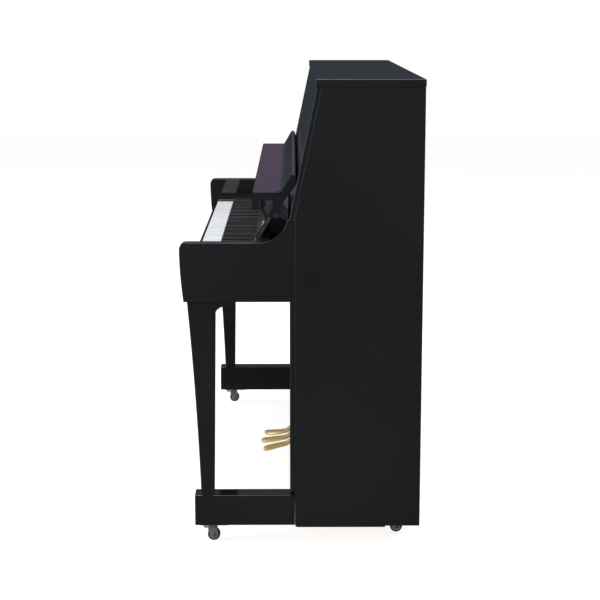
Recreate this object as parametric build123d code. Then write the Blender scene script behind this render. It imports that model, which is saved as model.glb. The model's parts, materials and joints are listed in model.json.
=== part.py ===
from build123d import *
from math import cos, hypot, radians, sin
import os

# Upright piano with a folding key lid, shown with the key lid open.
# Millimetres. The origin is on the floor, in the middle of the width and depth.
# +X is the player's right, -Y is the front, +Z is up. Profiles are drawn as (Y, Z) points.

# ---- Case ----
HALF_WIDTH = 740.0            # outer face of a side panel
BOARD = 30.0                  # thickness of a side panel and an arm
INNER = HALF_WIDTH - BOARD    # inner face of a side panel
BAY = INNER - 1.5             # half length of what stands between the side panels or the arms
CASE_FRONT, CASE_REAR = -17.0, 301.5
CASE_BOTTOM, CASE_TOP = 48.0, 1161.5
FIT = 0.3                     # joint line between two boards
EASE = 1.2                    # rounding of a polished board's edges

# ---- Leaning upper front ----
SHOULDER_Z = 838.0            # top of the arm, where the leaning edge starts
LEAN_FOOT_Y = -19.3           # leaning edge of the side panel at the shoulder
LEAN_TOP_Y = 48.2             # and at the top of the case
LEAN_SLOPE = (LEAN_TOP_Y - LEAN_FOOT_Y) / (CASE_TOP - SHOULDER_Z)
UPPER_PANEL = 11.0

# ---- Top lid ----
LID_BOTTOM, LID_TOP = 1162.0, 1180.0
LID_FRONT, LID_REAR = 33.6, 302.5
LID_HALF_WIDTH = 742.5
LID_EASE = 1.5

# ---- Lower front ----
LOWER_PANEL_FRONT = -29.8
LOWER_PANEL_BOTTOM = 138.0
PANEL_EASE = 1.5
PEDAL_SLOT_HALF, PEDAL_SLOT_TOP = 15.0, 106.0
FLOOR_BOARD_BOTTOM, FLOOR_BOARD_TOP = 50.0, 72.0

# ---- Arms ----
ARM_BOTTOM, ARM_TOP = 631.5, 780.0
ARM_FRONT = -303.5
ARM_FRONT_FOOT = -294.2       # the front face draws back towards its foot
ARM_NOSE = 17.0               # radius of the front top corner
ARM_SWEEP_Y, ARM_SWEEP_Z, ARM_SWEEP_R = -105.0, 850.7, 70.7
SHOULDER_FRONT = -36.0

# ---- Legs and toe blocks ----
LEG_IN, LEG_OUT = 680.0, 731.0
TOE_IN, TOE_OUT = 677.0, 731.0
TOE_FRONT, TOE_BOTTOM, TOE_TOP = -273.0, 47.0, 127.0

# ---- Keyboard ----
WHITE_COUNT = 52
WHITE_PITCH = 23.5
KEY_GAP = 1.0
KEYBOARD_HALF = WHITE_COUNT * WHITE_PITCH / 2
KEY_FRONT, KEY_REAR = -273.0, 90.0
KEY_BOTTOM, KEY_TOP = 693.0, 715.0
KEY_STICK_TOP = 713.0
BLACK_FRONT, BLACK_REAR = -222.0, -127.0
BLACK_TOP = 727.5
BLACK_WIDTH, BLACK_TOP_WIDTH = 11.4, 9.0
NOTCH = 14.0                  # room left between two white keys for a black key
TAIL_REAR = -100.0
STICK_WHITE, STICK_BLACK = 12.0, 10.0
BALANCE_Y = -48.0             # where a key rocks
KEYBED_BOTTOM, KEYBED_TOP = 632.0, 664.0
KEYBED_FRONT, KEYBED_REAR = -274.5, 100.0
FRONT_RAIL, BALANCE_RAIL, BACK_RAIL = (-268.0, -225.0), (-62.0, -36.0), (60.0, 92.0)
SLIP_FRONT, SLIP_REAR, SLIP_TOP = -288.0, -275.0, 696.0
KEY_BLOCK_FRONT, KEY_BLOCK_REAR, KEY_BLOCK_TOP = -274.0, -119.0, 721.0
NAME_BOARD_FRONT, NAME_BOARD_REAR = -118.0, -100.0
NAME_BOARD_BOTTOM, NAME_BOARD_TOP = 722.0, 766.0
LEDGE_FRONT, LEDGE_REAR, LEDGE_BOTTOM, LEDGE_TOP = -97.0, -20.0, 757.0, 780.2
LEDGE_WALL = -34.0            # front of the ledge's upright part

# ---- Key lid, leaning back on its stops ----
FALL_FOOT = (-116.0, 788.0)   # lower front corner
FALL_ANGLE = 60.0             # from the horizontal
FALL_THICK = 11.5             # at its foot
FALL_HINGE = (3.0, 14.8)      # pin, along the board and behind its front face
STOP_X = (684.0, 696.0)       # the two stops behind the key lid
SHELF_HINGE = (130.7, -1.6)   # pin of the shelf, 1.6 in front of the board's face
SHELF_FRONT = -123.0
SHELF_THICK, SHELF_LIP_DEPTH, SHELF_LIP_THICK = 19.0, 43.0, 16.5

# ---- Continuous hinges ----
HINGE_HALF = 690.0
KNUCKLES = 23
LID_PIN_Y, LID_PIN_Z = 302.3, 1161.55
LID_LEAF_FRONT = 280.0

# ---- Pedals ----
PEDAL_PITCH = 70.0            # between the levers
PEDAL_SPLAY = 20.0            # the outer toes stand this much further apart
PEDAL_TIP, OUTER_PEDAL_TIP = -118.5, -110.0
PEDAL_PIVOT_Y, PEDAL_PIVOT_Z = 40.0, 84.0
PEDAL_REAR = 70.0
LEVER_HALF, LEVER_BOTTOM, LEVER_TOP = 8.0, 80.0, 89.0
TOE_HALF = 17.0
BOSS_R, PEDAL_PIN_R = 8.5, 4.0

# ---- Casters ----
WHEEL_R, WHEEL_WIDTH, AXLE_R = 16.0, 15.0, 3.0
RUNNING_FIT = 0.05
SWIVEL_X, SWIVEL_Y, TRAIL = 704.0, -237.5, 11.5
CROWN_BOTTOM, CROWN_TOP, CROWN_R = 35.0, 39.0, 15.5
KING_PIN_R, KING_PIN_TOP = 4.0, 43.0
CHEEK_IN, CHEEK_OUT, CHEEK_R = 9.0, 11.5, 11.0
CASTER_PLATE = 3.0
REAR_CASTER_X, REAR_CASTER_Y = 643.0, 248.0

# ---- Back, strings and action ----
SOUNDBOARD_Y, PLATE_Y, STRING_Y = 196.0, 158.0, 150.0
POST_FRONT, POST_REAR, POST_WIDTH = 230.0, 300.0, 70.0
POST_PITCH = 327.5
BACK_RAIL_FRONT, TOP_RAIL_BOTTOM, BOTTOM_RAIL_TOP = 206.0, 1075.0, 130.0
PLATE_THICK, BOARD_THICK = 8.0, 8.0
RIB_WIDTH, RIB_DEPTH, RIB_PITCH = 24.0, 18.0, 170.0
BRIDGE_DEPTH = 28.0
NOTE_COUNT = 88
NOTE_PITCH = 13.8


# ---------------------------------------------------------------- helpers

def block(x0, x1, y0, y1, z0, z1):
    """A box from its lowest to its highest corner."""
    return Pos((x0 + x1) / 2, (y0 + y1) / 2, (z0 + z1) / 2) * Box(x1 - x0, y1 - y0, z1 - z0)


def along_x(face, x0, x1):
    """A (Y, Z) profile carried from x0 to x1."""
    return extrude(Plane.YZ.offset(x0) * face, x1 - x0, dir=(1, 0, 0))


def polygon(*points):
    return make_face(Polyline(*points, close=True))


def cylinder_x(x0, x1, y, z, radius):
    return Pos((x0 + x1) / 2, y, z) * Rot(0, 90, 0) * Cylinder(radius, x1 - x0)


def cylinder_z(x, y, z0, z1, radius):
    return Pos(x, y, (z0 + z1) / 2) * Cylinder(radius, z1 - z0)


def rod(start, end, radius):
    """A straight round rod between two points."""
    path = Vector(*end) - Vector(*start)
    where = Plane(origin=start, z_dir=path)
    return where * Cylinder(radius, path.length, align=(Align.CENTER, Align.CENTER, Align.MIN))


def group(pieces):
    """Separate pieces that share one node."""
    return Compound([solid for piece in pieces for solid in piece.solids()])


def mirrored(piece):
    return mirror(piece, about=Plane.YZ)


def eased(piece, radius=EASE):
    """Every edge of a polished board is slightly rounded."""
    return fillet(piece.edges(), radius)


def both(piece):
    """A piece on the right and its mirror image on the left, as one node."""
    return group([piece, mirrored(piece)])


# ---------------------------------------------------------------- case

def lean_y(z, forward=0.0):
    """Y of the leaning edge at height z, or of a plane that lies forward of it."""
    return LEAN_FOOT_Y + LEAN_SLOPE * (z - SHOULDER_Z) - forward * hypot(1, LEAN_SLOPE)


def side_panel():
    outline = polygon((CASE_FRONT, CASE_BOTTOM), (CASE_REAR, CASE_BOTTOM), (CASE_REAR, CASE_TOP),
                      (LEAN_TOP_Y, CASE_TOP), (LEAN_FOOT_Y, SHOULDER_Z), (CASE_FRONT, SHOULDER_Z))
    return eased(along_x(outline, INNER, HALF_WIDTH), 1.0)


def arm():
    """Arm beside the keyboard: a rounded nose, a flat top and a sweep up to the shoulder."""
    rear = CASE_FRONT - FIT
    sweep_end_z = ARM_SWEEP_Z - (ARM_SWEEP_R ** 2 - (SHOULDER_FRONT - ARM_SWEEP_Y) ** 2) ** 0.5
    turn = radians(40)
    sweep_mid = (ARM_SWEEP_Y + ARM_SWEEP_R * sin(turn), ARM_SWEEP_Z - ARM_SWEEP_R * cos(turn))
    nose_mid = (ARM_FRONT + ARM_NOSE * (1 - cos(radians(45))), ARM_TOP - ARM_NOSE * (1 - sin(radians(45))))
    top = SHOULDER_Z - FIT
    outline = make_face([
        Line((rear, ARM_BOTTOM), (rear, top)),
        Line((rear, top), (SHOULDER_FRONT, top)),
        Line((SHOULDER_FRONT, top), (SHOULDER_FRONT, sweep_end_z)),
        ThreePointArc((SHOULDER_FRONT, sweep_end_z), sweep_mid, (ARM_SWEEP_Y, ARM_TOP)),
        Line((ARM_SWEEP_Y, ARM_TOP), (ARM_FRONT + ARM_NOSE, ARM_TOP)),
        ThreePointArc((ARM_FRONT + ARM_NOSE, ARM_TOP), nose_mid, (ARM_FRONT, ARM_TOP - ARM_NOSE)),
        ThreePointArc((ARM_FRONT, ARM_TOP - ARM_NOSE), (ARM_FRONT + 2.2, 703), (ARM_FRONT_FOOT, ARM_BOTTOM)),
        Line((ARM_FRONT_FOOT, ARM_BOTTOM), (rear, ARM_BOTTOM)),
    ])
    solid = along_x(outline, INNER - 1, HALF_WIDTH)
    rims = [e for e in solid.edges() if e.center().Z > ARM_BOTTOM + 5 and e.center().Y < rear - 1]
    return fillet([e for e in rims if abs(e.tangent_at(0.5).X) < 0.5], EASE)


def toe_block():
    return eased(block(TOE_IN, TOE_OUT, TOE_FRONT, CASE_FRONT - FIT, TOE_BOTTOM, TOE_TOP), 2.0)


def leg():
    """Tapered leg whose back edge sweeps out into a bracket under the key bed."""
    top, foot = ARM_BOTTOM - FIT, TOE_TOP + FIT
    outline = make_face([
        ThreePointArc((-286.6, top), (-267.4, 371.0), (-256.0, foot)),
        Line((-256.0, foot), (-223.8, foot)),
        Line((-223.8, foot), (-216.8, 592.0)),
        ThreePointArc((-216.8, 592.0), (-212.6, 607.0), (-200.0, 616.0)),
        Line((-200.0, 616.0), (-168.0, 625.5)),
        Line((-168.0, 625.5), (-168.0, top)),
        Line((-168.0, top), (-286.6, top)),
    ])
    solid = along_x(outline, LEG_IN, LEG_OUT)
    long_edges = [e for e in solid.edges() if abs(e.tangent_at(0.5).X) < 0.5 and e.length > 200]
    return fillet(long_edges, 4.0)


def side_runner():
    """Thin skid under the case side, rounded at its front."""
    solid = block(INNER - 10, HALF_WIDTH - 5, CASE_FRONT + 2, 214, CASE_BOTTOM - 5, CASE_BOTTOM)
    return fillet(solid.edges().filter_by(Axis.X).sort_by(lambda e: e.center().Y + e.center().Z)[0], 4.0)


def top_lid():
    lid = block(-LID_HALF_WIDTH, LID_HALF_WIDTH, LID_FRONT, LID_REAR, LID_BOTTOM, LID_TOP)
    lid = fillet(lid.edges(), LID_EASE)
    recess = HINGE_HALF + 2
    lid -= block(-recess, recess, LID_LEAF_FRONT - 1, LID_REAR + 1, LID_BOTTOM - 1, LID_BOTTOM + 0.7)
    return lid - block(-recess, recess, LID_PIN_Y - 3.1, LID_REAR + 1, LID_BOTTOM - 1, LID_BOTTOM + 3)


def upper_front_panel():
    low, high = SHOULDER_Z + 0.2, CASE_TOP - 1.0
    outline = polygon((lean_y(low, 0.5), low), (lean_y(high, 0.5), high),
                      (lean_y(high, 0.5 + UPPER_PANEL), high), (lean_y(low, 0.5 + UPPER_PANEL), low))
    return eased(along_x(outline, -HALF_WIDTH, HALF_WIDTH), PANEL_EASE)


def lower_front_panel():
    return eased(block(-HALF_WIDTH, HALF_WIDTH, LOWER_PANEL_FRONT, CASE_FRONT - FIT,
                       LOWER_PANEL_BOTTOM, ARM_BOTTOM - FIT), PANEL_EASE)


def toe_rail():
    """Plinth board under the lower panel, cut away around the pedals."""
    rail = block(-TOE_IN + 1, TOE_IN - 1, LOWER_PANEL_FRONT, CASE_FRONT - FIT,
                 FLOOR_BOARD_BOTTOM, LOWER_PANEL_BOTTOM - 1)
    for side in (-1, 0, 1):
        x = side * PEDAL_PITCH
        rail -= block(x - PEDAL_SLOT_HALF, x + PEDAL_SLOT_HALF, LOWER_PANEL_FRONT - 1, CASE_FRONT,
                      FLOOR_BOARD_BOTTOM - 1, PEDAL_SLOT_TOP)
    return rail


def bottom_board():
    return block(-BAY, BAY, CASE_FRONT, 205.5, FLOOR_BOARD_BOTTOM, FLOOR_BOARD_TOP)


# ---------------------------------------------------------------- keyboard

# Each white key is lettered; a black key stands at the right of C, D, F, G and A, shifted a little.
LETTERS = "ABCDEFG"
BLACK_SHIFT = {"C": -2.5, "D": 2.5, "F": -3.5, "G": 0.0, "A": 3.5}
MIDDLE_C = 23                 # the 24th white key from the left


def letter(index):
    return LETTERS[index % 7]


def white_left(index):
    return -KEYBOARD_HALF + WHITE_PITCH * index


def black_x(index):
    """Centre of the black key at the right of a white key, or None where there isn't one."""
    if letter(index) not in BLACK_SHIFT or index in (-1, WHITE_COUNT - 1):
        return None
    return white_left(index + 1) + BLACK_SHIFT[letter(index)]


def white_key(index):
    left, right = white_left(index) + KEY_GAP / 2, white_left(index + 1) - KEY_GAP / 2
    before, after = black_x(index - 1), black_x(index)
    tail_left = left if before is None else before + NOTCH / 2
    tail_right = right if after is None else after - NOTCH / 2
    middle = (tail_left + tail_right) / 2
    key = block(left, right, KEY_FRONT, BLACK_FRONT - 1, KEY_BOTTOM, KEY_TOP)
    key += block(tail_left, tail_right, BLACK_FRONT - 1, TAIL_REAR, KEY_BOTTOM, KEY_TOP)
    front_rims = [e for e in key.edges() if e.center().Y < BLACK_FRONT - 10 and e.center().Z > KEY_TOP - 12]
    key = fillet(front_rims, 0.8)
    key += block(middle - STICK_WHITE / 2, middle + STICK_WHITE / 2, TAIL_REAR, KEY_REAR,
                 KEY_BOTTOM, KEY_STICK_TOP)
    return key


def black_key(index):
    """Sharp with sloping sides and nose on a slim stick."""
    x = black_x(index)
    middle_y, length = (BLACK_FRONT + BLACK_REAR) / 2, BLACK_REAR - BLACK_FRONT
    nose = 6.0
    foot = Plane((x, middle_y, KEY_TOP)) * Rectangle(BLACK_WIDTH, length)
    crown = Plane((x, middle_y + nose / 2, BLACK_TOP)) * Rectangle(BLACK_TOP_WIDTH, length - nose)
    sharp = loft([foot, crown])
    sharp = fillet([e for e in sharp.edges() if e.center().Z > KEY_TOP + 3 and e.center().Y < BLACK_REAR - 1], 1.2)
    key = sharp + block(x - BLACK_WIDTH / 2, x + BLACK_WIDTH / 2, BLACK_FRONT, BLACK_REAR, KEY_BOTTOM, KEY_TOP)
    key += block(x - STICK_BLACK / 2, x + STICK_BLACK / 2, BLACK_REAR, KEY_REAR, KEY_BOTTOM, KEY_STICK_TOP)
    return key


def octave_range():
    return range(MIDDLE_C, MIDDLE_C + 7)


def key_name(index, sharp):
    return "key_" + letter(index).lower() + ("_sharp" if sharp else "")


def middle_octave():
    """The twelve keys from middle C, each a piece of its own."""
    keys = {key_name(i, False): white_key(i) for i in octave_range()}
    keys.update({key_name(i, True): black_key(i) for i in octave_range() if black_x(i) is not None})
    return keys


def white_keys():
    return group([white_key(i) for i in range(WHITE_COUNT) if i not in octave_range()])


def black_keys():
    outside = [i for i in range(WHITE_COUNT) if i not in octave_range() and black_x(i) is not None]
    return group([black_key(i) for i in outside])


def keybed():
    return eased(block(-BAY, BAY, KEYBED_FRONT, KEYBED_REAR, KEYBED_BOTTOM, KEYBED_TOP), 1.0)


def key_frame():
    """Front, balance and back rails that carry the keys."""
    half = KEYBOARD_HALF
    front = block(-half, half, *FRONT_RAIL, KEYBED_TOP, KEYBED_TOP + 16)
    balance = block(-half, half, *BALANCE_RAIL, KEYBED_TOP, KEY_BOTTOM - 2)
    bearing = block(-half, half, BALANCE_Y - 5, BALANCE_Y + 5, KEY_BOTTOM - 2, KEY_BOTTOM - 0.4)
    back = block(-half, half, *BACK_RAIL, KEYBED_TOP, KEY_BOTTOM - 0.5)
    return group([front, balance + bearing, back])


def key_slip():
    return eased(block(-BAY, BAY, SLIP_FRONT, SLIP_REAR, KEYBED_BOTTOM + 4, SLIP_TOP), PANEL_EASE)


def key_block():
    return eased(block(KEYBOARD_HALF + KEY_GAP, BAY, KEY_BLOCK_FRONT, KEY_BLOCK_REAR, KEYBED_TOP, KEY_BLOCK_TOP),
                 PANEL_EASE)


def name_board():
    """Board over the keys, and the ledge behind it that closes the case behind the key lid."""
    board = eased(block(-BAY, BAY, NAME_BOARD_FRONT, NAME_BOARD_REAR, NAME_BOARD_BOTTOM, NAME_BOARD_TOP), 1.0)
    wall_top = SHOULDER_Z - 1
    ledge = polygon((LEDGE_FRONT, LEDGE_BOTTOM), (LEDGE_REAR, LEDGE_BOTTOM), (LEDGE_REAR, wall_top),
                    (LEDGE_WALL, wall_top), (LEDGE_WALL, LEDGE_TOP), (LEDGE_FRONT, LEDGE_TOP))
    return group([board, along_x(ledge, -BAY, BAY)])


def name_board_felt():
    return block(-KEYBOARD_HALF, KEYBOARD_HALF, NAME_BOARD_FRONT - 0.5, NAME_BOARD_REAR - 4,
                 NAME_BOARD_BOTTOM - 4.6, NAME_BOARD_BOTTOM - 0.2)


# ---------------------------------------------------------------- key lid and shelf

def on_fall(u, v):
    """(Y, Z) of a point u up the key lid's front face and v behind it."""
    c, s = cos(radians(FALL_ANGLE)), sin(radians(FALL_ANGLE))
    return (FALL_FOOT[0] + u * c + v * s, FALL_FOOT[1] + u * s - v * c)


def fallboard():
    """Key lid: a thin board that swells towards its rounded free edge."""
    p = on_fall
    outline = make_face([
        Line(p(0, 0), p(174, 0)),
        ThreePointArc(p(174, 0), p(181.5, 2.0), p(184, 7)),
        ThreePointArc(p(184, 7), p(176.5, 17.3), p(157, 21.2)),
        Line(p(157, 21.2), p(88, 14.6)),
        Spline(p(88, 14.6), p(76, 12.2), p(62, FALL_THICK)),
        Line(p(62, FALL_THICK), p(0, FALL_THICK)),
        Line(p(0, FALL_THICK), p(0, 0)),
    ])
    return along_x(outline, -BAY + 2, BAY - 2)


def knuckle_span(index):
    pitch = 2 * HINGE_HALF / KNUCKLES
    left = -HINGE_HALF + pitch * index
    return left + FIT, left + pitch - FIT


def hinge_half(leaf, pin, radius, pin_radius, fixed):
    """One leaf of a continuous hinge with every second knuckle. The fixed half holds the pin."""
    own, other = (0, 1) if fixed else (1, 0)
    for i in range(other, KNUCKLES, 2):
        left, right = knuckle_span(i)
        leaf -= cylinder_x(left - 2 * FIT, right + 2 * FIT, *pin, radius + FIT)
    for i in range(own, KNUCKLES, 2):
        leaf += cylinder_x(*knuckle_span(i), *pin, radius)
    if fixed:
        return leaf + cylinder_x(-HINGE_HALF, HINGE_HALF, *pin, pin_radius)
    return leaf - cylinder_x(-HINGE_HALF, HINGE_HALF, *pin, pin_radius + RUNNING_FIT)


def lid_hinge(fixed):
    low = CASE_TOP - 1.1 if fixed else LID_BOTTOM - 0.2
    leaf = block(-HINGE_HALF, HINGE_HALF, LID_LEAF_FRONT, LID_PIN_Y, low, low + 0.9)
    return hinge_half(leaf, (LID_PIN_Y, LID_PIN_Z), 2.0, 0.8, fixed)


def fallboard_hinge(fixed):
    pin = on_fall(*FALL_HINGE)
    if fixed:
        leaf = block(-HINGE_HALF, HINGE_HALF, pin[0], pin[0] + 22, LEDGE_TOP + 0.3, LEDGE_TOP + 1.4)
    else:
        p, back = on_fall, FALL_THICK
        leaf = along_x(polygon(p(3, back), p(22, back), p(22, back + 1.1), p(3, back + 1.1)),
                       -HINGE_HALF, HINGE_HALF)
    return hinge_half(leaf, pin, 3.0, 1.2, fixed)


def shelf_hinge(fixed):
    """The half on the key lid holds the pin; the other half lies on the shelf."""
    pin = on_fall(*SHELF_HINGE)
    if fixed:
        p, u = on_fall, SHELF_HINGE[0]
        leaf = along_x(polygon(p(u, -0.1), p(u + 14, -0.1), p(u + 14, -0.8), p(u, -0.8)),
                       -HINGE_HALF, HINGE_HALF)
    else:
        leaf = block(-HINGE_HALF, HINGE_HALF, pin[0] - 14, pin[0] - 0.4, pin[1] - 0.95, pin[1] - 0.25)
    return hinge_half(leaf, pin, 1.4, 0.6, fixed)


def fallboard_fittings():
    """Metal on the key lid: its hinge leaf, the shelf's hinge leaf and an arm plate on each end."""
    p = on_fall
    plate = along_x(polygon(p(1, 1.5), p(1, 10.5), p(60, 10.5), p(66, 6), p(60, 1.5)), BAY - 1.9, BAY - 0.7)
    plate += cylinder_x(BAY - 0.7, BAY - 0.2, *p(44, 6), 3.0)
    plate += cylinder_x(BAY - 0.7, BAY - 0.2, *p(12, 6), 3.0)
    return group([fallboard_hinge(False), shelf_hinge(True), plate, mirrored(plate)])


def fallboard_seat():
    """Fixed hinge leaf and the two bent metal stops that the open key lid leans on."""
    front = LEDGE_WALL - 3
    stop = along_x(polygon((LEDGE_WALL, 820), (LEDGE_WALL, 835.5), (front, 835.5), (-59.5, 852.5),
                           (-61.3, 850.1), (front, 831.5), (front, 820)), *STOP_X)
    return group([fallboard_hinge(True), stop, mirrored(stop)])


def music_shelf():
    """Narrow shelf with a drop lip. Its back edge is bevelled to the leaning key lid."""
    pin_y, pin_z = on_fall(*SHELF_HINGE)
    top = pin_z - 0.95
    under = top - SHELF_THICK
    lip = top - SHELF_LIP_DEPTH
    bevel_y = on_fall(0, 0)[0] + (under - FALL_FOOT[1]) / (sin(radians(FALL_ANGLE)) / cos(radians(FALL_ANGLE)))
    outline = polygon((SHELF_FRONT, top), (SHELF_FRONT, lip), (SHELF_FRONT + SHELF_LIP_THICK, lip),
                      (SHELF_FRONT + SHELF_LIP_THICK, under), (bevel_y - 1.6, under), (pin_y - 2.0, top - 2.0),
                      (pin_y - 2.0, top))
    solid = along_x(outline, -BAY + 2, BAY - 2)
    front = [e for e in solid.edges().filter_by(Axis.X) if e.center().Y < SHELF_FRONT + 1]
    return fillet(front, 3.5)


# ---------------------------------------------------------------- pedals

def pedal(side):
    """Cast pedal: flat toe, short swan neck, and a lever with a bored boss on the pivot.

    side is -1, 0 or 1. The toe of an outer pedal curves away from the middle one.
    """
    tip = OUTER_PEDAL_TIP if side else PEDAL_TIP
    away = side * PEDAL_SPLAY
    profile = make_face([
        Spline((tip + 3, 65.0), (-84, 69.4), (-56, 73.6), (-44, 77.0), (-34, 85.6), (-24, LEVER_TOP),
               tangents=[(1, 0.1), (1, 0)]),
        Line((-24, LEVER_TOP), (PEDAL_REAR, LEVER_TOP)),
        Line((PEDAL_REAR, LEVER_TOP), (PEDAL_REAR, LEVER_BOTTOM)),
        Line((PEDAL_REAR, LEVER_BOTTOM), (-20, LEVER_BOTTOM)),
        Spline((-20, LEVER_BOTTOM), (-29, 77.2), (-40, 67.2), (-54, 64.0), (-84, 59.6), (tip + 3, 55.6),
               tangents=[(-1, 0), (-1, -0.12)]),
        ThreePointArc((tip + 3, 55.6), (tip, 60.3), (tip + 3, 65.0)),
    ])
    right, left = [], []
    for y, half, part in ((tip + 10, TOE_HALF, 0.87), (-84, TOE_HALF, 0.42), (-60, 14.0, 0.12),
                          (-36, LEVER_HALF + 0.6, 0.0), (-24, LEVER_HALF, 0.0)):
        right.append((away * part + half, y))
        left.append((away * part - half, y))
    plan = make_face([
        ThreePointArc(left[0], (away, tip), right[0]),
        Spline(*right),
        Line(right[-1], (LEVER_HALF, PEDAL_REAR)),
        Line((LEVER_HALF, PEDAL_REAR), (-LEVER_HALF, PEDAL_REAR)),
        Line((-LEVER_HALF, PEDAL_REAR), left[-1]),
        Spline(*reversed(left)),
    ])
    reach = PEDAL_SPLAY + TOE_HALF + 5
    body = along_x(profile, -reach, reach) & extrude(Plane.XY.offset(40) * plan, 60, dir=(0, 0, 1))
    body += cylinder_x(-LEVER_HALF, LEVER_HALF, PEDAL_PIVOT_Y, PEDAL_PIVOT_Z, BOSS_R)
    body -= cylinder_x(-LEVER_HALF - 1, LEVER_HALF + 1, PEDAL_PIVOT_Y, PEDAL_PIVOT_Z, PEDAL_PIN_R + RUNNING_FIT)
    return Pos(side * PEDAL_PITCH, 0, 0) * body


def pedal_bracket(x):
    base = block(x - 16, x + 16, 22, 58, FLOOR_BOARD_TOP, FLOOR_BOARD_TOP + 2.5)
    ears = [block(x + s * 11.5 - 1.5, x + s * 11.5 + 1.5, 30, 50, FLOOR_BOARD_TOP, 94) for s in (-1, 1)]
    return base + ears + cylinder_x(x - 13, x + 13, PEDAL_PIVOT_Y, PEDAL_PIVOT_Z, PEDAL_PIN_R)


def pedal_brackets():
    return group([pedal_bracket(side * PEDAL_PITCH) for side in (-1, 0, 1)])


# ---------------------------------------------------------------- casters

def wheel(x, y):
    tyre = cylinder_x(x - WHEEL_WIDTH / 2, x + WHEEL_WIDTH / 2, y, WHEEL_R, WHEEL_R)
    tyre = fillet(tyre.edges(), 2.0)
    return tyre - cylinder_x(x - WHEEL_WIDTH, x + WHEEL_WIDTH, y, WHEEL_R, AXLE_R + RUNNING_FIT)


def caster_legs(x, wheel_y, top_y, half_top, top_z):
    """Two cheek plates, rounded about the axle, and the axle that carries a wheel."""
    outline = polygon((top_y - half_top, top_z), (wheel_y - CHEEK_R + 0.5, WHEEL_R + 1), (wheel_y, WHEEL_R - 4),
                      (wheel_y + CHEEK_R - 0.5, WHEEL_R + 1), (top_y + half_top, top_z))
    legs = cylinder_x(x - CHEEK_OUT - 1, x + CHEEK_OUT + 1, wheel_y, WHEEL_R, AXLE_R)
    for near, far in ((-CHEEK_OUT, -CHEEK_IN), (CHEEK_IN, CHEEK_OUT)):
        legs += along_x(outline, x + near, x + far) + cylinder_x(x + near, x + far, wheel_y, WHEEL_R, CHEEK_R)
    return legs


def caster_fork():
    """Swivelling part of a front caster, with its king pin."""
    crown = cylinder_z(SWIVEL_X, SWIVEL_Y, CROWN_BOTTOM, CROWN_TOP, CROWN_R)
    crown += cylinder_z(SWIVEL_X, SWIVEL_Y, CROWN_TOP, KING_PIN_TOP, KING_PIN_R)
    return crown + caster_legs(SWIVEL_X, SWIVEL_Y + TRAIL, SWIVEL_Y + 7, 12, CROWN_BOTTOM + 2)


def caster_mounts():
    """Front swivel plates with their raceways, and the fixed rear casters' brackets."""
    front = block(SWIVEL_X - 20, SWIVEL_X + 20, -260, -188, TOE_BOTTOM - CASTER_PLATE, TOE_BOTTOM)
    front += cylinder_z(SWIVEL_X, SWIVEL_Y, CROWN_TOP + 0.4, TOE_BOTTOM - CASTER_PLATE, 17.0)
    front -= cylinder_z(SWIVEL_X, SWIVEL_Y, CROWN_TOP, KING_PIN_TOP + 0.4, KING_PIN_R + RUNNING_FIT)
    plate_bottom = FLOOR_BOARD_BOTTOM - CASTER_PLATE
    rear = block(REAR_CASTER_X - 24, REAR_CASTER_X + 24, 222, 274, plate_bottom, FLOOR_BOARD_BOTTOM)
    rear += caster_legs(REAR_CASTER_X, REAR_CASTER_Y, REAR_CASTER_Y, 14, plate_bottom + 1)
    return group([front, mirrored(front), rear, mirrored(rear)])


# ---------------------------------------------------------------- back and strung frame

def back_frame():
    """Posts, rails and pin block of the back."""
    top = block(-BAY, BAY, BACK_RAIL_FRONT, POST_REAR, TOP_RAIL_BOTTOM, CASE_TOP - 1.1)
    top = chamfer(top.edges().filter_by(Axis.X).sort_by(lambda e: e.center().Y + e.center().Z)[-1], 2.4)
    bottom = block(-BAY, BAY, BACK_RAIL_FRONT, POST_REAR, FLOOR_BOARD_BOTTOM, BOTTOM_RAIL_TOP)
    half = POST_WIDTH / 2
    posts = [block(i * POST_PITCH - half, i * POST_PITCH + half, POST_FRONT, POST_REAR,
                   BOTTOM_RAIL_TOP, TOP_RAIL_BOTTOM) for i in (-2, -1, 0, 1, 2)]
    pin_block = block(-BAY, BAY, PLATE_Y + PLATE_THICK + 0.5, BACK_RAIL_FRONT - 0.5, 1040, 1150)
    return group([top, bottom, pin_block] + posts)


def soundboard():
    """The board, the slanting ribs behind it and the curved bridge in front of it."""
    rib_y = SOUNDBOARD_Y + BOARD_THICK
    board = block(-BAY, BAY, SOUNDBOARD_Y, rib_y, 80, 1035)
    area = block(-BAY + 10, BAY - 10, rib_y, rib_y + RIB_DEPTH, BOTTOM_RAIL_TOP + 5, 1030)
    ribs = []
    for i in range(-5, 6):
        bar = Pos(i * RIB_PITCH, rib_y + RIB_DEPTH / 2, 580) * Rot(0, 45, 0) * Box(RIB_WIDTH, RIB_DEPTH, 1500)
        ribs.append(bar & area)
    outer = ThreePointArc((-560, 150), (-200, 330), (480, 900))
    inner = ThreePointArc((500, 882), (-170, 300), (-560, 118))
    bridge_face = make_face([outer, Line((480, 900), (500, 882)), inner, Line((-560, 118), (-560, 150))])
    bridge = extrude(Plane.XZ.offset(-SOUNDBOARD_Y) * bridge_face, BRIDGE_DEPTH, dir=(0, -1, 0))
    return group([board, bridge] + ribs)


def iron_plate():
    """Cast plate with five windows between its struts."""
    plate = block(-BAY + 4, BAY - 4, PLATE_Y, PLATE_Y + PLATE_THICK, 80, 1150)
    window, strut = 240, 30
    for i in range(-2, 3):
        x = i * (window + strut)
        opening = block(x - window / 2, x + window / 2, PLATE_Y - 1, PLATE_Y + PLATE_THICK + 1, 190, 1030)
        plate -= fillet(opening.edges().filter_by(Axis.Y), 25)
    return plate


def note_x(index):
    return (index - (NOTE_COUNT - 1) / 2) * NOTE_PITCH


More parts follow.
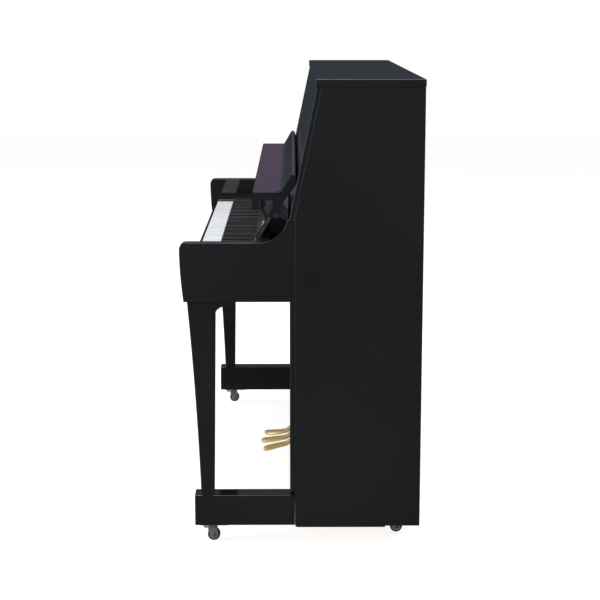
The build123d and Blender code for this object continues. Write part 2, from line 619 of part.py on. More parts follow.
def tuning_pins():
    pins = []
    for i in range(NOTE_COUNT * 2):
        x = note_x(i / 2) - NOTE_PITCH / 4
        z = 1095 + 17 * (i % 3)
        pins.append(Pos(x, 148, z) * Rot(90, 0, 0) * Cylinder(3.4, 19))
    return group(pins)


def strings():
    """One string for each note: the wound bass strings cross in front of the plain ones."""
    wires, bass = [], 20
    for i in range(NOTE_COUNT):
        if i < bass:
            wires.append(rod((note_x(i), 141, 1085), (note_x(i) + 260, 141, 190 + 4 * i), 1.4))
        else:
            foot = 140 + 11 * (i - bass)
            wires.append(rod((note_x(i), STRING_Y, 1085), (note_x(i) - 40, STRING_Y, foot), 0.6))
    return group(wires)


# ---------------------------------------------------------------- action

def action():
    """Cast brackets between the notes, rails from bracket to bracket, wippens and damper heads."""
    outline = polygon((15, 735), (60, 735), (90, 855), (126, 900), (126, 1010), (116, 1010), (112, 905),
                      (62, 872), (20, 770))
    stations = [notes * NOTE_PITCH for notes in (-44, -15, 15, 44)]
    pieces = [along_x(outline, x - 1.8, x + 1.8) for x in stations]
    for left, right in zip(stations, stations[1:]):
        pieces.append(block(left + 2, right - 2, 62, 84, 850, 872))
        pieces.append(block(left + 2, right - 2, 44, 58, 940, 958))
    for i in range(NOTE_COUNT):
        x = note_x(i)
        pieces.append(block(x - 4, x + 4, 24, 92, 778, 790))
        pieces.append(block(x - 3, x + 3, 80, 88, 724, 777.8))
        pieces.append(block(x - 4.5, x + 4.5, 127, 137, 905, 930))
    return group(pieces)


def hammer_shanks():
    return group([cylinder_z(note_x(i), 72, 880, 982, 2.8) for i in range(NOTE_COUNT)])


def hammer_heads():
    """Pear-shaped felt heads, pointing at the strings."""
    outline = make_face([
        ThreePointArc((112, 1000), (122, 992), (112, 984)),
        Line((112, 984), (68, 982)),
        Line((68, 982), (68, 1000)),
        Line((68, 1000), (112, 1000)),
    ])
    return group([along_x(outline, note_x(i) - 4.8, note_x(i) + 4.8) for i in range(NOTE_COUNT)])


# ---------------------------------------------------------------- nodes

def nodes():
    panel, cheek, toe, post, fork = side_panel(), arm(), toe_block(), leg(), caster_fork()
    front_wheel = wheel(SWIVEL_X, SWIVEL_Y + TRAIL)
    rear_wheel = wheel(REAR_CASTER_X, REAR_CASTER_Y)
    parts = {
        "side_panel_right": panel, "side_panel_left": mirrored(panel),
        "arm_right": cheek, "arm_left": mirrored(cheek),
        "toe_block_right": toe, "toe_block_left": mirrored(toe),
        "leg_right": post, "leg_left": mirrored(post),
        "side_runners": both(side_runner()),
        "top_lid": top_lid(), "lid_hinge_leaf": lid_hinge(False), "lid_hinge_seat": lid_hinge(True),
        "upper_front_panel": upper_front_panel(), "lower_front_panel": lower_front_panel(),
        "toe_rail": toe_rail(), "bottom_board": bottom_board(),
        "keybed": keybed(), "key_frame": key_frame(), "key_slip": key_slip(), "key_blocks": both(key_block()),
        "name_board": name_board(), "name_board_felt": name_board_felt(),
        "white_keys": white_keys(), "black_keys": black_keys(),
        "fallboard": fallboard(), "fallboard_fittings": fallboard_fittings(), "fallboard_seat": fallboard_seat(),
        "music_shelf": music_shelf(), "shelf_hinge_leaf": shelf_hinge(False),
        "pedal_left": pedal(-1), "pedal_middle": pedal(0), "pedal_right": pedal(1),
        "pedal_brackets": pedal_brackets(), "caster_mounts": caster_mounts(),
        "caster_fork_right": fork, "caster_fork_left": mirrored(fork),
        "front_wheel_right": front_wheel, "front_wheel_left": mirrored(front_wheel),
        "rear_wheel_right": rear_wheel, "rear_wheel_left": mirrored(rear_wheel),
        "back_frame": back_frame(), "soundboard": soundboard(),
        "iron_plate": iron_plate(), "tuning_pins": tuning_pins(), "strings": strings(),
        "action": action(), "hammer_shanks": hammer_shanks(), "hammer_heads": hammer_heads(),
    }
    parts.update(middle_octave())
    return parts


os.makedirs("parts", exist_ok=True)
for name, shape in nodes().items():
    export_step(shape, f"parts/{name}.step")
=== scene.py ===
from math import cos, pi, radians, sin
import json

import bmesh
import bpy
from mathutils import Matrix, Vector

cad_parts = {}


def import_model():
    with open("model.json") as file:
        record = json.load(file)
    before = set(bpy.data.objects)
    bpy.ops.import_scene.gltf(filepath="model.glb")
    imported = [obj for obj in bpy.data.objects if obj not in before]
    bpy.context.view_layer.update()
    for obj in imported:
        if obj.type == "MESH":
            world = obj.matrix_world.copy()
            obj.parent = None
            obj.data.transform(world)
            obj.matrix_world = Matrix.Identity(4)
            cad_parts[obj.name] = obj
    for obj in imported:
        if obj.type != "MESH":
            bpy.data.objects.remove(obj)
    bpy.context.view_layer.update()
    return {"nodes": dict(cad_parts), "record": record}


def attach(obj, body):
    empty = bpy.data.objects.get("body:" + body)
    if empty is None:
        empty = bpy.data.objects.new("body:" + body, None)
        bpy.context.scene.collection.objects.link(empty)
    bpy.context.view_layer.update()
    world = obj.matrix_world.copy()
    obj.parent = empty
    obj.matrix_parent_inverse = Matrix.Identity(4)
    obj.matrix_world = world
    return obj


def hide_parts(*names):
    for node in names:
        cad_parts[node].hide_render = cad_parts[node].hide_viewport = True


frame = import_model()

# Upright piano, in the row frame: +X player's right, -Y front, +Z up.
# The object's pieces are laid out in millimetres. Lights, camera and floor are in metres.
NODES = frame["nodes"]
MM_PER_M = 1000
X_AXIS, Y_AXIS, Z_AXIS = Vector((1, 0, 0)), Vector((0, 1, 0)), Vector((0, 0, 1))
BACKWARD, FORWARD, DOWNWARD = (0, 1, 0), (0, -1, 0), (0, 0, -1)


# ---------------------------------------------------------------- shader node helpers

def new_material(name, sockets):
    """A Principled material with these socket values. Returns the material, its tree and its shader."""
    material = bpy.data.materials.new(name)
    material.use_nodes = True
    shader = material.node_tree.nodes["Principled BSDF"]
    for socket, value in sockets.items():
        shader.inputs[socket].default_value = value
    return material, material.node_tree, shader


def add(tree, kind, **values):
    """A shader node with its inputs or properties set by name."""
    node = tree.nodes.new("ShaderNode" + kind)
    for key, value in values.items():
        if key in node.inputs:
            node.inputs[key].default_value = value
        else:
            setattr(node, key, value)
    return node


def place(tree, stretch=(1, 1, 1)):
    """Object coordinates, which are row coordinates at rest, scaled along each axis."""
    coords = add(tree, "TexCoord")
    mapping = add(tree, "Mapping", Scale=stretch)
    tree.links.new(coords.outputs["Object"], mapping.inputs["Vector"])
    return mapping.outputs["Vector"]


def noise(tree, scale, detail=3.0, stretch=(1, 1, 1), rough=0.5):
    node = add(tree, "TexNoise", Scale=scale, Detail=detail, Roughness=rough)
    tree.links.new(place(tree, stretch), node.inputs["Vector"])
    return node.outputs["Fac"]


def ramp(tree, value, low, high, start=0.3, end=0.7):
    """Maps a value from start..end to low..high."""
    node = add(tree, "MapRange")
    ends = {"From Min": start, "From Max": end, "To Min": low, "To Max": high}
    for socket, number in ends.items():
        node.inputs[socket].default_value = number
    tree.links.new(value, node.inputs["Value"])
    return node.outputs["Result"]


def tint(tree, value, first, second):
    """A colour between two fixed ones."""
    node = add(tree, "Mix", data_type="RGBA")
    node.inputs["A"].default_value = (*first, 1)
    node.inputs["B"].default_value = (*second, 1)
    tree.links.new(value, node.inputs["Factor"])
    return node.outputs["Result"]


def mixed(tree, value, first, second):
    """A colour between two colour outputs."""
    node = add(tree, "Mix", data_type="RGBA")
    tree.links.new(value, node.inputs["Factor"])
    tree.links.new(first, node.inputs["A"])
    tree.links.new(second, node.inputs["B"])
    return node.outputs["Result"]


def plain(tree, colour):
    """One colour as an output."""
    node = add(tree, "RGB")
    node.outputs[0].default_value = (*colour, 1)
    return node.outputs[0]


def bump(tree, shader, value, height, strength=1.0):
    node = add(tree, "Bump", Strength=strength, Distance=height)
    tree.links.new(value, node.inputs["Height"])
    tree.links.new(node.outputs["Normal"], shader.inputs["Normal"])


def colour_from(tree, shader, value, dark, light):
    """The shader's base colour, between dark and light as the value goes through its middle range."""
    tree.links.new(tint(tree, ramp(tree, value, 0, 1), dark, light), shader.inputs["Base Color"])


def roughness_from(tree, shader, value, low, high):
    tree.links.new(ramp(tree, value, low, high), shader.inputs["Roughness"])


# ---------------------------------------------------------------- materials

KEY_CAP_END = -0.1015       # Y where the white key tops end and the bare key sticks begin, in metres
KEY_CAP_BLEND = 0.001


def polished_black():
    """Black polyester lacquer: very smooth, with faint haze and the slightest waviness."""
    material, tree, shader = new_material("polished_black", {
        "IOR": 1.5, "Coat Weight": 0.35, "Coat Roughness": 0.02})
    haze = noise(tree, 2.3, 5)
    colour_from(tree, shader, haze, (0.0085, 0.0088, 0.0094), (0.012, 0.0123, 0.0132))
    roughness_from(tree, shader, noise(tree, 7.0, 4), 0.025, 0.05)
    bump(tree, shader, noise(tree, 9.0, 1), 0.0003, 0.08)
    return material


def satin_black():
    """Key sharps: satin black with a fine lengthwise grain."""
    material, tree, shader = new_material("satin_black", {"IOR": 1.5, "Specular IOR Level": 0.3})
    grain = noise(tree, 60.0, 4, (1.0, 0.06, 1.0))
    colour_from(tree, shader, grain, (0.005, 0.0055, 0.006), (0.014, 0.015, 0.016))
    roughness_from(tree, shader, grain, 0.2, 0.32)
    bump(tree, shader, grain, 0.0002, 0.3)
    return material


def key_white():
    """White key tops, a little different from key to key, on pale wooden sticks behind the name board."""
    material, tree, shader = new_material("key_white", {
        "IOR": 1.5, "Subsurface Weight": 0.08, "Subsurface Radius": (0.003, 0.002, 0.0015),
        "Subsurface Scale": 1.0})
    geometry = add(tree, "NewGeometry")
    cap = tint(tree, geometry.outputs["Random Per Island"], (0.73, 0.75, 0.785), (0.77, 0.785, 0.815))
    grain = noise(tree, 90.0, 4, (1.0, 0.05, 1.0))
    stick = tint(tree, ramp(tree, grain, 0, 1), (0.5, 0.33, 0.17), (0.68, 0.49, 0.29))
    coords = add(tree, "TexCoord")
    split = add(tree, "SeparateXYZ")
    tree.links.new(coords.outputs["Object"], split.inputs["Vector"])
    behind = ramp(tree, split.outputs["Y"], 0, 1, KEY_CAP_END, KEY_CAP_END + KEY_CAP_BLEND)
    tree.links.new(mixed(tree, behind, cap, stick), shader.inputs["Base Color"])
    roughness_from(tree, shader, noise(tree, 30.0, 3), 0.12, 0.2)
    bump(tree, shader, noise(tree, 40.0, 2), 0.0001, 0.15)
    return material


def metal(name, dark, light, rough, scale=60.0, metallic=1.0):
    """Metal with fine wear: its colour, roughness and surface follow one noise. rough is low, then high."""
    material, tree, shader = new_material(name, {"Metallic": metallic})
    wear = noise(tree, scale, 5)
    smoothest, roughest = rough
    colour_from(tree, shader, wear, dark, light)
    roughness_from(tree, shader, wear, roughest, smoothest)
    bump(tree, shader, wear, 0.0001, 0.15)
    return material


def wood(name, dark, light, stretch, rough=(0.45, 0.6), scale=26.0):
    """Long grain with pores. stretch is small along the grain, and rough is low, then high."""
    material, tree, shader = new_material(name, {"IOR": 1.45})
    grain = noise(tree, scale, 6, stretch, 0.6)
    figure = noise(tree, scale / 6, 3, stretch)
    pore = tuple(0.72 * channel for channel in dark)
    tone = tint(tree, ramp(tree, figure, 0, 1), dark, light)
    fine = tint(tree, ramp(tree, grain, 0, 1), pore, light)
    smoothest, roughest = rough
    tree.links.new(mixed(tree, ramp(tree, grain, 0.25, 0.75), tone, fine), shader.inputs["Base Color"])
    roughness_from(tree, shader, grain, roughest, smoothest)
    bump(tree, shader, grain, 0.0004, 0.3)
    return material


def felt(name, dark, light):
    material, tree, shader = new_material(name, {
        "Sheen Weight": 0.5, "Sheen Roughness": 0.5, "Roughness": 0.95})
    fibre = noise(tree, 900.0, 6, rough=0.7)
    colour_from(tree, shader, fibre, dark, light)
    bump(tree, shader, fibre, 0.0006, 0.6)
    return material


def rubber():
    material, tree, shader = new_material("wheel_rubber", {"IOR": 1.5})
    scuff = noise(tree, 120.0, 5)
    colour_from(tree, shader, scuff, (0.01, 0.01, 0.011), (0.035, 0.034, 0.033))
    roughness_from(tree, shader, scuff, 0.4, 0.6)
    bump(tree, shader, scuff, 0.0003, 0.3)
    return material


def metals():
    return {
        "brass": metal(
            "brass", (1.0, 0.66, 0.23), (1.0, 0.76, 0.33), (0.16, 0.24), scale=25.0, metallic=0.35),
        "hinge_brass": metal(
            "hinge_brass", (0.42, 0.28, 0.1), (0.62, 0.44, 0.18), (0.3, 0.45), metallic=0.85),
        "dark_steel": metal(
            "dark_steel", (0.03, 0.032, 0.035), (0.075, 0.078, 0.082), (0.25, 0.4), metallic=0.5),
        "bright_steel": metal("bright_steel", (0.42, 0.42, 0.43), (0.68, 0.68, 0.7), (0.18, 0.34)),
        "caster_metal": metal(
            "caster_zinc", (0.27, 0.27, 0.31), (0.5, 0.5, 0.57), (0.25, 0.42), metallic=0.8),
        "plate_bronze": metal(
            "plate_bronze", (0.38, 0.25, 0.09), (0.58, 0.42, 0.17), (0.3, 0.45), metallic=0.7),
    }


def woods():
    """Posts and soundboard have upright grain, rails have grain from side to side."""
    upright_grain, long_grain = (1.0, 1.0, 0.06), (0.06, 1.0, 1.0)
    beech_dark, beech_light = (0.33, 0.2, 0.1), (0.52, 0.36, 0.2)
    return {
        "raw_wood": wood("raw_wood", beech_dark, beech_light, upright_grain),
        "rail_wood": wood("rail_wood", beech_dark, beech_light, long_grain),
        "spruce": wood("spruce", (0.44, 0.26, 0.11), (0.62, 0.42, 0.2), upright_grain, (0.25, 0.4), 45.0),
    }


LOOKS = {
    "case_black": polished_black(),
    "key_white": key_white(),
    "key_black": satin_black(),
    **metals(),
    **woods(),
    "red_felt": felt("red_felt", (0.16, 0.008, 0.012), (0.34, 0.03, 0.04)),
    "white_felt": felt("white_felt", (0.6, 0.58, 0.52), (0.82, 0.8, 0.74)),
    "caster_wheel": rubber(),
}
SLOT_OF = {part["node"]: part["material_slot"] for part in frame["record"]["subparts"]}
LOOK_INSTEAD = {
    "bottom_board": "rail_wood",
    "key_frame": "rail_wood",
    "shelf_hinge_leaf": "case_black",
    "lid_hinge_leaf": "hinge_brass",
    "lid_hinge_seat": "hinge_brass",
}


def dress(obj, look):
    """Gives an object one material."""
    obj.data.materials.clear()
    obj.data.materials.append(LOOKS[look])


def dress_cad_nodes():
    """Each CAD node takes the look of its slot, or the one that LOOK_INSTEAD names."""
    for name, obj in NODES.items():
        dress(obj, LOOK_INSTEAD.get(name, SLOT_OF[name]))


# ---------------------------------------------------------------- building pieces

def link_piece(name, mesh, look, body):
    """A mesh as a dressed piece that rides on a body."""
    obj = bpy.data.objects.new(name, mesh)
    bpy.context.scene.collection.objects.link(obj)
    dress(obj, look)
    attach(obj, body)
    return obj


def mesh_piece(name, points, faces, look, body, smooth=True):
    """A piece from points in millimetres."""
    mesh = bpy.data.meshes.new(name)
    mesh.from_pydata([tuple(point / MM_PER_M) for point in points], [], faces)
    mesh.update()
    if smooth:
        mesh.shade_smooth()
    return link_piece(name, mesh, look, body)


def spoke(side, third, k, count):
    """The unit vector at step k of count round a full turn, in the plane of two others."""
    angle = 2 * pi * k / count
    return side * cos(angle) + third * sin(angle)


def band_faces(rings, count, first=0, closed=False):
    """Quads between rings of count points each, from point number first.

    With closed, the last ring also joins the first one.
    """
    faces = []
    for row in range(rings if closed else rings - 1):
        here, there = first + row * count, first + (row + 1) % rings * count
        for k in range(count):
            after = (k + 1) % count
            faces.append((here + k, here + after, there + after, there + k))
    return faces


# ---------------------------------------------------------------- pedals

PEDAL_PITCH = 70.0              # from lever to lever, along X
# distance along Y, height of the middle, half width, half thickness
PEDAL_STATIONS = [
    (-118.5, 60.4, 1.5, 1.0), (-117.6, 60.4, 8.0, 2.8), (-115.0, 60.6, 13.0, 4.2),
    (-110.0, 61.0, 17.0, 5.3), (-102.0, 61.8, 18.4, 5.7), (-88.0, 63.6, 18.2, 5.8),
    (-74.0, 65.6, 17.2, 5.7), (-60.0, 67.8, 15.0, 5.7), (-50.0, 69.5, 13.0, 5.8),
    (-42.0, 71.7, 11.4, 6.0), (-36.5, 75.0, 10.2, 6.0), (-32.0, 79.4, 9.4, 5.6),
    (-27.0, 83.4, 8.8, 5.0), (-20.0, 84.5, 8.2, 4.5), (34.0, 84.5, 8.0, 4.5)]
TOE_TIP, LEVER_END = PEDAL_STATIONS[0][0], PEDAL_STATIONS[-1][0]
TOE_START = -50.0               # the outer toes are shortened from here forward
OUTER_SHORTER = 8.5
SPLAY_START = -36.0             # the outer toes bend outward from here forward
SPLAY = 20.0
TIP_ROWS, TIP_STEP = 20, 0.35   # close rows round the toe's tip
LONG_ROWS, LONG_START = 110, -111.3
PEDAL_RING = 36
PEDAL_SQUARENESS = 0.58         # 1 gives an ellipse, 0 a rectangle
SLOPE_REACH = 0.5

PEDAL_PIN = (40, 84)            # Y and Z of the pin that the pedals turn on
BOSS_RING = 32
# radius and distance along the pin, round the section of the boss's wall
BOSS_PROFILE = [(4.1, -8), (7.7, -8), (8.5, -7.2), (8.5, 7.2), (7.7, 8), (4.1, 8)]


def curve_through(stations, y):
    """Values at y, interpolated smoothly through stations of (y, value, value, ...)."""
    last_span = len(stations) - 2
    k = next((i for i in range(last_span) if y <= stations[i + 1][0]), last_span)
    before, here = stations[max(k - 1, 0)], stations[k]
    there, after = stations[k + 1], stations[min(k + 2, last_span + 1)]
    span = there[0] - here[0]
    t = (y - here[0]) / span
    h = (2 * t ** 3 - 3 * t ** 2 + 1, t ** 3 - 2 * t ** 2 + t, -2 * t ** 3 + 3 * t ** 2, t ** 3 - t ** 2)
    values = []
    for i in range(1, len(here)):
        slope_here = (there[i] - before[i]) / (there[0] - before[0]) * span
        slope_there = (after[i] - here[i]) / (after[0] - here[0]) * span
        values.append(h[0] * here[i] + h[1] * slope_here + h[2] * there[i] + h[3] * slope_there)
    return values


def squared(value):
    """A sine or cosine pushed outward, so that a circle becomes a rounded rectangle."""
    size = abs(value) ** PEDAL_SQUARENESS
    return size if value >= 0 else -size


def pedal_height(y):
    return curve_through(PEDAL_STATIONS, y)[0]


def pedal_section(y, first_row, last_row, side):
    """The ring of points round a pedal at y. side is -1, 0 or 1."""
    z, half_width, half_thick = curve_through(PEDAL_STATIONS, y)
    ahead, behind = min(y + SLOPE_REACH, last_row), max(y - SLOPE_REACH, first_row)
    rise = (pedal_height(ahead) - pedal_height(behind)) / (ahead - behind)
    along = Vector((0, 1, rise)).normalized()
    up = Vector((0, -along.z, along.y))
    shift = OUTER_SHORTER * max(0, TOE_START - y) / (TOE_START - TOE_TIP) if side else 0
    splay_length = SPLAY_START - (TOE_TIP + OUTER_SHORTER)
    bend = side * SPLAY * (max(0, SPLAY_START - (y + shift)) / splay_length) ** 2
    centre = Vector((PEDAL_PITCH * side + bend, y + shift, z))
    points = []
    for k in range(PEDAL_RING):
        angle = 2 * pi * k / PEDAL_RING
        across, upward = squared(cos(angle)), squared(sin(angle))
        points.append(centre + Vector((across * half_width, 0, 0)) + up * upward * half_thick)
    return points


def pedal_cast(name, side, body):
    """A flat rounded toe and a short swan neck, up to the lever."""
    tip_rows = [TOE_TIP + TIP_STEP * k for k in range(TIP_ROWS)]
    long_reach = LEVER_END - LONG_START
    rows = tip_rows + [LONG_START + long_reach * k / LONG_ROWS for k in range(LONG_ROWS + 1)]
    points = []
    for y in rows:
        points += pedal_section(y, rows[0], rows[-1], side)
    faces = band_faces(len(rows), PEDAL_RING)
    faces.append(tuple(range(PEDAL_RING - 1, -1, -1)))
    faces.append(tuple((len(rows) - 1) * PEDAL_RING + k for k in range(PEDAL_RING)))
    return mesh_piece(name, points, faces, "brass", body)


def pedal_boss(name, side, body):
    """The bored boss that turns on the pedal pin."""
    middle = Vector((PEDAL_PITCH * side, *PEDAL_PIN))
    points = []
    for radius, along in BOSS_PROFILE:
        for k in range(BOSS_RING):
            points.append(middle + X_AXIS * along + spoke(Y_AXIS, Z_AXIS, k, BOSS_RING) * radius)
    faces = band_faces(len(BOSS_PROFILE), BOSS_RING, closed=True)
    return mesh_piece(name, points, faces, "brass", body, smooth=False)


def pedals():
    """Three brass pedals. The outer two are shorter and bend outward."""
    for node, side in (("pedal_left", -1), ("pedal_middle", 0), ("pedal_right", 1)):
        cast = pedal_cast(node + "_cast", side, node)
        pedal_boss(node + "_boss", side, node)
        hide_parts(node)


# ---------------------------------------------------------------- bolts, screws and stop tips

HEAD_RING = 24
HEAD_LEVELS = (0.16, 0.34, 0.5, 0.6, 0.8, 0.93, 1.0)    # ring radii, as shares of the head's radius
RECESS_REACH = 0.55             # how far out the cross recess goes
RECESS_FLOOR = 0.35             # its floor's height, as a share of the head's height
DOME_DROP = 0.5                 # how far the dome falls at its rim, as a share of the height

POST_PITCH = 327.5
POST_BACK = 300                 # Y of the back frame's rear face
RAIL_BOLT_HEIGHTS = (1092, 1128, 72, 108)
POST_BOLT_SPREAD = 18
PLATE_FRONT = 158               # Y of the iron plate's face
PLATE_BOLT_HEIGHTS = (1141, 112, 160)
PLATE_BOLTS, PLATE_BOLT_START, PLATE_BOLT_PITCH = 12, -660, 120

FRONT_WHEEL = (704, -226, 16)   # centre of the right one
REAR_WHEEL = (643, 248, 16)
FRONT_PLATE_UNDER, REAR_PLATE_UNDER = 44, 47
FRONT_SCREW_SPREAD, FRONT_SCREW_ROWS = 14, (-207, -194)
REAR_SCREW_SPREAD, REAR_SCREW_ROWS = 18, (228, 268)
CHEEK_OUTSIDE = 12.5            # from the wheel's middle to the outside of its fork or bracket

STOP_X = 690
STOP_TIP_HALF = 7
STOP_TIP_Y = (-62.4, -57.2)
STOP_TIP_Z = (847.6, 854.6)
STOP_TIP_ROUND = 2.2


def head_lift(k, level, height):
    """The height of a head's surface at point k of a ring."""
    if level == HEAD_LEVELS[-1]:
        return 0.0
    if k % (HEAD_RING // 4) == 0 and level < RECESS_REACH:
        return height * RECESS_FLOOR
    return height * (1 - DOME_DROP * level ** 2)


def head_points(centre, normal, radius, height):
    """A domed head's middle point and its rings, from the middle out."""
    side = Z_AXIS if abs(normal.z) < 0.5 else X_AXIS
    third = normal.cross(side)
    points = [centre + normal * height * RECESS_FLOOR]
    for level in HEAD_LEVELS:
        for k in range(HEAD_RING):
            lift = normal * head_lift(k, level, height)
            points.append(centre + lift + spoke(side, third, k, HEAD_RING) * radius * level)
    return points


def head_faces(base):
    """The faces of the head whose middle point is number base, with a flat underside."""
    first = base + 1
    faces = [(base, first + k, first + (k + 1) % HEAD_RING) for k in range(HEAD_RING)]
    faces += [(a, d, c, b) for a, b, c, d in band_faces(len(HEAD_LEVELS), HEAD_RING, first)]
    rim = first + (len(HEAD_LEVELS) - 1) * HEAD_RING
    faces.append(tuple(rim + k for k in range(HEAD_RING - 1, -1, -1)))
    return faces


def screw_heads(name, spots, radius, height, body):
    """Domed steel heads with a cross recess. A spot is a centre on the surface and its normal."""
    points, faces = [], []
    for centre, normal in spots:
        faces += head_faces(len(points))
        points += head_points(Vector(centre), Vector(normal), radius, height)
    return mesh_piece(name, points, faces, "bright_steel", body, smooth=False)


def frame_and_plate_bolts():
    """Four bolts where each post meets the two rails, and three rows through the iron plate."""
    frame_spots = []
    for post in (-2, -1, 0, 1, 2):
        for dx in (-POST_BOLT_SPREAD, POST_BOLT_SPREAD):
            x = POST_PITCH * post + dx
            frame_spots += [((x, POST_BACK, z), BACKWARD) for z in RAIL_BOLT_HEIGHTS]
    screw_heads("back_frame_bolts", frame_spots, 6.5, 2.4, "case")
    plate_spots = []
    for i in range(PLATE_BOLTS):
        x = PLATE_BOLT_START + PLATE_BOLT_PITCH * i
        plate_spots += [((x, PLATE_FRONT, z), FORWARD) for z in PLATE_BOLT_HEIGHTS]
    screw_heads("iron_plate_bolts", plate_spots, 7.5, 4.0, "case")


def plate_screws(x, spread, rows, z):
    """Where four screws hold a caster's plate from below."""
    return [((x + dx, y, z), DOWNWARD) for dx in (-spread, spread) for y in rows]


def axle_ends(wheel, side):
    """The two ends of a wheel's axle, on the right (1) or the left (-1) of the piano."""
    x, y, z = wheel
    return [((side * x + end * CHEEK_OUTSIDE, y, z), (end, 0, 0)) for end in (-1, 1)]


def caster_fixings():
    screws, rear_ends = [], []
    for side in (-1, 1):
        front_x, rear_x = side * FRONT_WHEEL[0], side * REAR_WHEEL[0]
        screws += plate_screws(front_x, FRONT_SCREW_SPREAD, FRONT_SCREW_ROWS, FRONT_PLATE_UNDER)
        screws += plate_screws(rear_x, REAR_SCREW_SPREAD, REAR_SCREW_ROWS, REAR_PLATE_UNDER)
        rear_ends += axle_ends(REAR_WHEEL, side)
    screw_heads("caster_screws", screws, 3.6, 1.3, "case")
    for name, side in (("right", 1), ("left", -1)):
        screw_heads("axle_heads_" + name, axle_ends(FRONT_WHEEL, side), 4.4, 1.4, "caster_fork_" + name)
    screw_heads("rear_axle_heads", rear_ends, 4.4, 1.4, "case")


def soft_block(name, low, high, radius, look, body):
    """A block with generously rounded edges, its corners in millimetres."""
    bm = bmesh.new()
    bmesh.ops.create_cube(bm, size=1.0)
    low, high = Vector(low) / MM_PER_M, Vector(high) / MM_PER_M
    size, middle = high - low, (low + high) / 2
    for vert in bm.verts:
        vert.co = Vector(a * b for a, b in zip(vert.co, size)) + middle
    bmesh.ops.bevel(bm, geom=bm.edges[:], offset=radius / MM_PER_M, segments=4, profile=0.5,
                    affect="EDGES")
    mesh = bpy.data.meshes.new(name)
    bm.to_mesh(mesh)
    bm.free()
    mesh.shade_smooth()
    return link_piece(name, mesh, look, body)


def stop_pads():
    """Rubber tips of the stops behind the key lid."""
    for name, side in (("right", 1), ("left", -1)):
        x = side * STOP_X
        low = (x - STOP_TIP_HALF, STOP_TIP_Y[0], STOP_TIP_Z[0])
        high = (x + STOP_TIP_HALF, STOP_TIP_Y[1], STOP_TIP_Z[1])
        soft_block("stop_pad_" + name, low, high, STOP_TIP_ROUND, "caster_wheel", "case")


# ---------------------------------------------------------------- stage, light and camera

FLOOR_HALF = 12.0
ROOM_LOW, ROOM_HIGH = -0.3, 0.5     # the upward part of the directions that ROOM_STOPS runs over
# place in that range, and the colour that reflections see there: a dim room with one narrow purple band
ROOM_STOPS = [
    (0.0, (0.02, 0.022, 0.028)), (0.225, (0.028, 0.031, 0.043)), (0.4, (0.036, 0.044, 0.053)),
    (0.45, (0.04, 0.045, 0.056)), (0.482, (0.11, 0.086, 0.128)), (0.53, (0.11, 0.087, 0.128)),
    (0.555, (0.05, 0.052, 0.062)), (1.0, (0.12, 0.13, 0.15))]
GLOW_DIRECTION = (0.72, -0.692, 0.05)
GLOW_EDGE = 0.91                    # cosine of the glow's half angle
GLOW_COLOUR = (3.6, 3.6, 3.7)
FILL_COLOUR = (0.42, 0.42, 0.43)
WHITE = (1, 1, 1)


def floor():
    """A white floor that nearly lights itself, takes faint shadows and doesn't show in reflections."""
    corners = [(-FLOOR_HALF, -FLOOR_HALF, 0), (FLOOR_HALF, -FLOOR_HALF, 0),
               (FLOOR_HALF, FLOOR_HALF, 0), (-FLOOR_HALF, FLOOR_HALF, 0)]
    mesh = bpy.data.meshes.new("floor")
    mesh.from_pydata(corners, [], [(0, 1, 2, 3)])
    obj = bpy.data.objects.new("floor", mesh)
    bpy.context.scene.collection.objects.link(obj)
    material, tree, shader = new_material("pale_floor", {
        "Roughness": 0.9, "Specular IOR Level": 0.0, "Emission Color": (*WHITE, 1),
        "Emission Strength": 0.82})
    colour_from(tree, shader, noise(tree, 0.6, 2), (0.36, 0.36, 0.36), (0.38, 0.38, 0.38))
    mesh.materials.append(material)
    obj.visible_glossy = False


def room_colour(tree, direction):
    """What reflections see: ROOM_STOPS by height, and a soft glow at the front right."""
    split = add(tree, "SeparateXYZ")
    tree.links.new(direction, split.inputs["Vector"])
    room = add(tree, "ValToRGB")
    elements = room.color_ramp.elements
    while len(elements) < len(ROOM_STOPS):
        elements.new(0.5)
    for element, (position, colour) in zip(elements, ROOM_STOPS):
        element.position = position
        element.color = (*colour, 1)
    tree.links.new(ramp(tree, split.outputs["Z"], 0, 1, ROOM_LOW, ROOM_HIGH), room.inputs["Fac"])
    toward_glow = add(tree, "VectorMath", operation="DOT_PRODUCT")
    toward_glow.inputs[1].default_value = GLOW_DIRECTION
    tree.links.new(direction, toward_glow.inputs[0])
    nearness = ramp(tree, toward_glow.outputs["Value"], 0, 1, GLOW_EDGE, 1.0)
    return mixed(tree, nearness, room.outputs["Color"], plain(tree, GLOW_COLOUR))


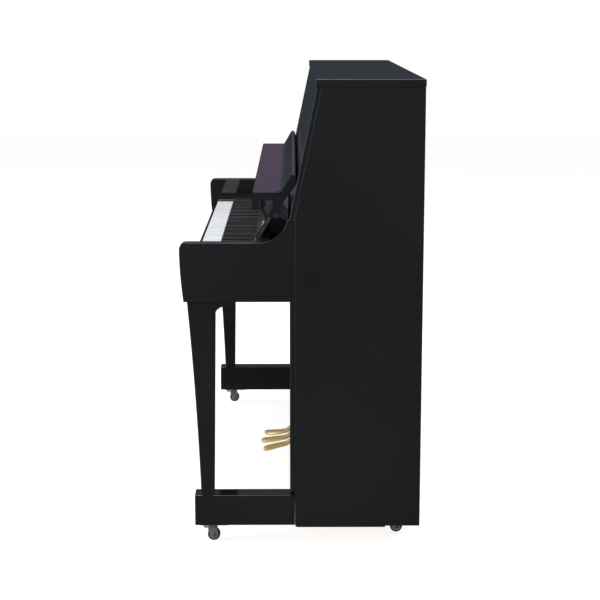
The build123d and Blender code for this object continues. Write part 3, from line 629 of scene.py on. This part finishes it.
def world():
    """White behind the object, an even fill, and in reflections a dim room.

    The room's glow draws the thin light lines along the edges of the case.
    """
    scene_world = bpy.data.worlds.new("studio")
    scene_world.use_nodes = True
    bpy.context.scene.world = scene_world
    tree = scene_world.node_tree
    direction = add(tree, "TexCoord").outputs["Generated"]
    rays = add(tree, "LightPath")
    lit = mixed(tree, rays.outputs["Is Glossy Ray"], plain(tree, FILL_COLOUR), room_colour(tree, direction))
    seen = mixed(tree, rays.outputs["Is Camera Ray"], lit, plain(tree, WHITE))
    tree.links.new(seen, tree.nodes["Background"].inputs["Color"])


def soft_light(name, position, target, size, watts, glossy=True):
    """A rectangular light that faces its target. With glossy off, reflections don't show it."""
    data = bpy.data.lights.new(name, "AREA")
    data.shape = "RECTANGLE"
    data.size, data.size_y = size
    data.energy = watts
    obj = bpy.data.objects.new(name, data)
    obj.location = position
    obj.rotation_mode = "QUATERNION"
    obj.rotation_quaternion = (Vector(target) - Vector(position)).to_track_quat("-Z", "Y")
    obj.visible_glossy = glossy
    bpy.context.scene.collection.objects.link(obj)


def lights():
    """One overhead box, and three fills that reflections don't show."""
    middle, fill_size = (0, 0, 0.6), (3.0, 2.0)
    soft_light("overhead", (0.3, -0.4, 3.6), middle, (3.2, 2.2), 120)
    soft_light("front_fill", (1.2, -4.2, 2.2), middle, fill_size, 90, glossy=False)
    soft_light("side_fill", (4.6, 0.8, 2.4), middle, fill_size, 70, glossy=False)
    soft_light("rear_fill", (-2.6, 3.8, 2.6), middle, fill_size, 70, glossy=False)


# the camera, fitted to corners of the piano in the photograph
CAMERA_PLACE = (4.4034, -0.0221, 1.3394)
CAMERA_PITCH, CAMERA_YAW = 10.858, -0.279   # degrees down, and degrees off the direction of -X
CAMERA_LENS = 90.06


def camera():
    """Square to the piano's right side, a little above its top and tipped down."""
    data = bpy.data.cameras.new("photo_camera")
    data.lens = CAMERA_LENS
    data.clip_start, data.clip_end = 0.05, 60
    obj = bpy.data.objects.new("photo_camera", data)
    obj.location = CAMERA_PLACE
    pitch, yaw = radians(CAMERA_PITCH), radians(CAMERA_YAW)
    forward = Vector((-cos(pitch) * cos(yaw), -cos(pitch) * sin(yaw), -sin(pitch)))
    obj.rotation_mode = "QUATERNION"
    obj.rotation_quaternion = forward.to_track_quat("-Z", "Y")
    bpy.context.scene.collection.objects.link(obj)
    bpy.context.scene.camera = obj


dress_cad_nodes()
pedals()
frame_and_plate_bolts()
caster_fixings()
stop_pads()
floor()
world()
lights()
camera()
bpy.context.scene.view_settings.view_transform = "Standard"
